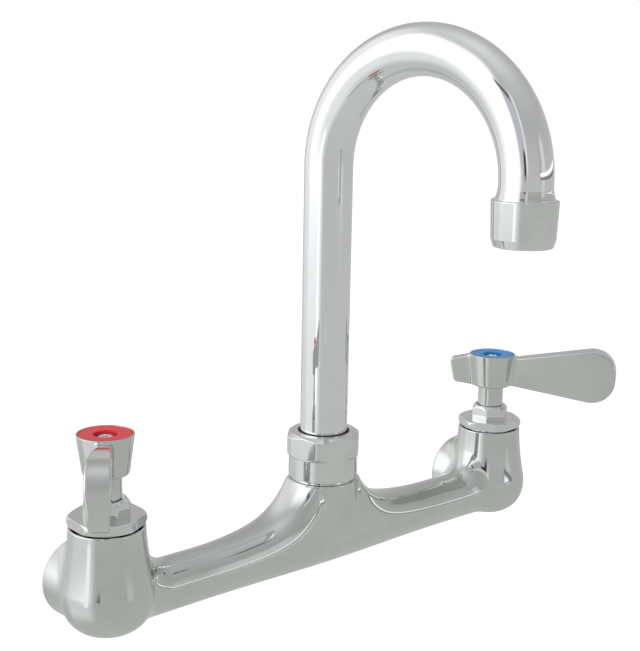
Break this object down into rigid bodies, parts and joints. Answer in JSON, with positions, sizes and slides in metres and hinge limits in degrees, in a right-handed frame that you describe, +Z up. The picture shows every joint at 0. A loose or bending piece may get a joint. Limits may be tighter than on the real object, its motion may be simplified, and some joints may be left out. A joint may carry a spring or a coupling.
{
  "type": "wall faucet",
  "caption": "Wall-mounted sink faucet with a swinging gooseneck spout, aerator outlet and quarter-turn wrist-blade handles for hot and cold water.",
  "frame": {"origin": "in the wall plane, midway between the two inlet bores, at the height of their axes", "axes": "+X from the hot inlet to the cold inlet, +Y into the wall, +Z up; the spout stands out towards -Y"},
  "size_m": [0.2716, 0.1209, 0.2193],
  "materials": {
    "polished_chrome": "polished plate",
    "hot_red": "glossy",
    "cold_blue": "glossy",
    "screw_steel": "bright",
    "plain_brass": "machined",
    "black_rubber": "matt",
    "ceramic": "lapped",
    "white_packing": "waxy",
    "grey_plastic": "moulded"
  },
  "bodies": {
    "root": {"faucet_body": "polished_chrome", "swivel_nut": "polished_chrome", "tube_ring": "black_rubber", "thrust_washer": "white_packing", "hot_lock_nut": "polished_chrome", "hot_packing_nut": "polished_chrome", "hot_packing": "white_packing", "hot_cartridge_body": "plain_brass", "hot_cartridge_ring": "black_rubber", "hot_fixed_disc": "ceramic", "hot_seat_washer": "black_rubber", "cold_lock_nut": "polished_chrome", "cold_packing_nut": "polished_chrome", "cold_packing": "white_packing", "cold_cartridge_body": "plain_brass", "cold_cartridge_ring": "black_rubber", "cold_fixed_disc": "ceramic", "cold_seat_washer": "black_rubber"},
    "spout": {"spout_tube": "polished_chrome", "spout_spigot": "plain_brass", "spigot_rings": "black_rubber", "outlet_ferrule": "polished_chrome", "aerator_housing": "polished_chrome", "aerator_insert": "grey_plastic", "aerator_screen": "screw_steel", "aerator_washer": "black_rubber"},
    "hot_handle": {"hot_lever": "polished_chrome", "hot_index_ring": "hot_red", "hot_handle_screw": "screw_steel", "hot_stem": "plain_brass", "hot_moving_disc": "ceramic", "hot_stem_ring": "black_rubber"},
    "cold_handle": {"cold_lever": "polished_chrome", "cold_index_ring": "cold_blue", "cold_handle_screw": "screw_steel", "cold_stem": "plain_brass", "cold_moving_disc": "ceramic", "cold_stem_ring": "black_rubber"}
  },
  "joints": [
    {"name": "spout_swing", "type": "hinge", "parent": "root", "child": "spout", "pos_m": [0, -0.021, 0], "axis": [0, 0, 1], "range_deg": [-97.85, 82.15]},
    {"name": "hot_handle_turn", "type": "hinge", "parent": "root", "child": "hot_handle", "pos_m": [-0.1016, -0.021, 0], "axis": [0, 0, 1], "range_deg": [0, 90]},
    {"name": "cold_handle_turn", "type": "hinge", "parent": "root", "child": "cold_handle", "pos_m": [0.1016, -0.021, 0], "axis": [0, 0, 1], "range_deg": [-90, 0]}
  ]
}
